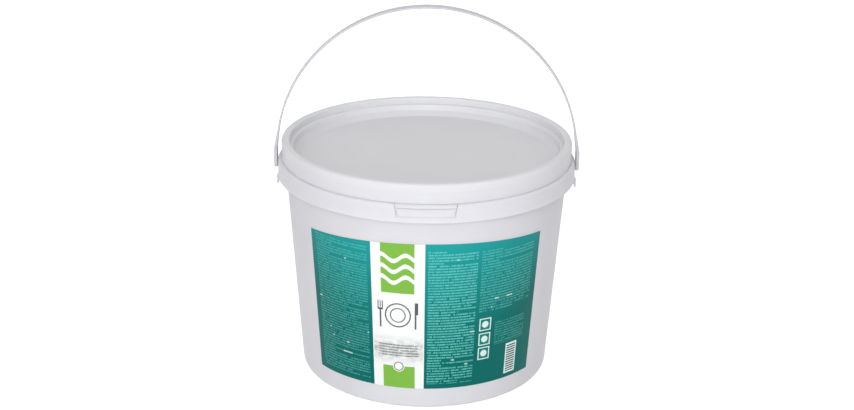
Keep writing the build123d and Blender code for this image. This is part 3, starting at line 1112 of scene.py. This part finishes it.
# Floor: a plain white studio surface that keeps the tub's soft shadow.
# To the eye it glows up to paper white, but it lights the tub only as matt white board does.
floor_half = 4.0
floor_glow = 0.6
floor_shape = bmesh.new()
floor_corners = [(-1, -1), (1, -1), (1, 1), (-1, 1)]
floor_shape.faces.new([floor_shape.verts.new((x * floor_half, y * floor_half, 0)) for x, y in floor_corners])
floor = finished("floor", floor_shape)
if floor.data.polygons[0].normal.z < 0:
    floor.data.flip_normals()
board = bpy.data.materials.new("matt white board")
board.use_nodes = True
board_tree = board.node_tree
board_tree.nodes.remove(board_tree.nodes["Principled BSDF"])
board_white = linear("#f2f2f2")


def seen_directly(tree):
    """1 for rays that see a surface or the sky by eye, in a reflection or through something."""
    rays = add_node(tree, "ShaderNodeLightPath").outputs
    seen = rays["Is Camera Ray"]
    for kind in ("Is Glossy Ray", "Is Transmission Ray"):
        seen = add_node(tree, "ShaderNodeMath", {0: seen, 1: rays[kind]}, operation="MAXIMUM").outputs[0]
    return seen


matt = add_node(board_tree, "ShaderNodeBsdfDiffuse", {"Color": board_white}).outputs[0]
glow = add_node(board_tree, "ShaderNodeEmission", {"Strength": floor_glow}).outputs[0]
bright = add_node(board_tree, "ShaderNodeAddShader", {0: matt, 1: glow}).outputs[0]
floor_look = add_node(
    board_tree, "ShaderNodeMixShader", {0: seen_directly(board_tree), 1: matt, 2: bright}
).outputs[0]
board_tree.links.new(floor_look, board_tree.nodes["Material Output"].inputs["Surface"])
floor.data.materials.append(board)

# Light: a white studio tent that is dimmer at its sides and brighter behind the tub,
# a broad softbox in front, a little to the left, and a weak one on the right.
roof_light = 0.64
tent_light = 0.62
side_light = 0.09
back_gain = 0.5
world = bpy.data.worlds.new("studio tent")
bpy.context.scene.world = world
world.use_nodes = True
sky = world.node_tree
sky_way = add_node(sky, "ShaderNodeTexCoord").outputs["Generated"]
sky_axes = add_node(sky, "ShaderNodeSeparateXYZ", {0: sky_way}).outputs
beside = add_node(sky, "ShaderNodeMath", {0: sky_axes["X"]}, operation="ABSOLUTE").outputs[0]
wall_strength = add_node(
    sky,
    "ShaderNodeMapRange",
    {"Value": beside, "From Min": 0.3, "From Max": 0.85, "To Min": tent_light, "To Max": side_light},
).outputs[0]
behind = add_node(
    sky,
    "ShaderNodeMapRange",
    {"Value": sky_axes["Y"], "From Min": 0.2, "From Max": 0.8, "To Max": back_gain},
).outputs[0]
around_strength = add_node(sky, "ShaderNodeMath", {0: wall_strength, 1: behind}, operation="ADD").outputs[0]
tent_strength = add_node(
    sky,
    "ShaderNodeMapRange",
    {
        "Value": sky_axes["Z"],
        "From Min": 0.4,
        "From Max": 0.8,
        "To Min": around_strength,
        "To Max": roof_light,
    },
).outputs[0]
sky_strength = add_node(
    sky, "ShaderNodeMapRange", {"Value": seen_directly(sky), "To Min": tent_strength, "To Max": 1.0}
).outputs[0]
sky.links.new(sky_strength, sky.nodes["Background"].inputs["Strength"])
sky.nodes["Background"].inputs["Color"].default_value = linear("#ffffff")
lit_point = Vector((0, 0, 0.12))
softboxes = [
    ("front softbox", (-0.25, -2.1, 0.85), 1.2, 24),
    ("right softbox", (1.2, -1.6, 0.8), 1.0, 1),
]
for name, place, width, power in softboxes:
    lamp = bpy.data.lights.new(name, "AREA")
    lamp.shape = "SQUARE"
    lamp.size = width
    lamp.energy = power
    stand = bpy.data.objects.new(name, lamp)
    stand.location = place
    aim = lit_point - stand.location
    stand.rotation_euler = aim.to_track_quat("-Z", "Y").to_euler()
    bpy.context.scene.collection.objects.link(stand)

# Camera: a little above the lid, level with the front, turned by less than a degree.
# Its place and its focal length come from the ellipses of the rim, the collar and the foot.
photo_width = 854
focal_pixels = 1588.7
camera_distance = 1.2
camera_rise = radians(20.279)
camera_roll = radians(0.749)
aim_point = Vector((0.00074, 0, 0.12363))
camera = bpy.data.cameras.new("camera")
camera.sensor_width = 36
camera.lens = focal_pixels / photo_width * camera.sensor_width
viewer = bpy.data.objects.new("camera", camera)
viewer.matrix_world = (
    Matrix.Translation(aim_point + Vector((0, -cos(camera_rise), sin(camera_rise))) * camera_distance)
    @ Matrix.Rotation(pi / 2 - camera_rise, 4, "X")
    @ Matrix.Rotation(camera_roll, 4, "Z")
)
bpy.context.scene.collection.objects.link(viewer)
bpy.context.scene.camera = viewer
bpy.context.scene.view_settings.view_transform = "Standard"
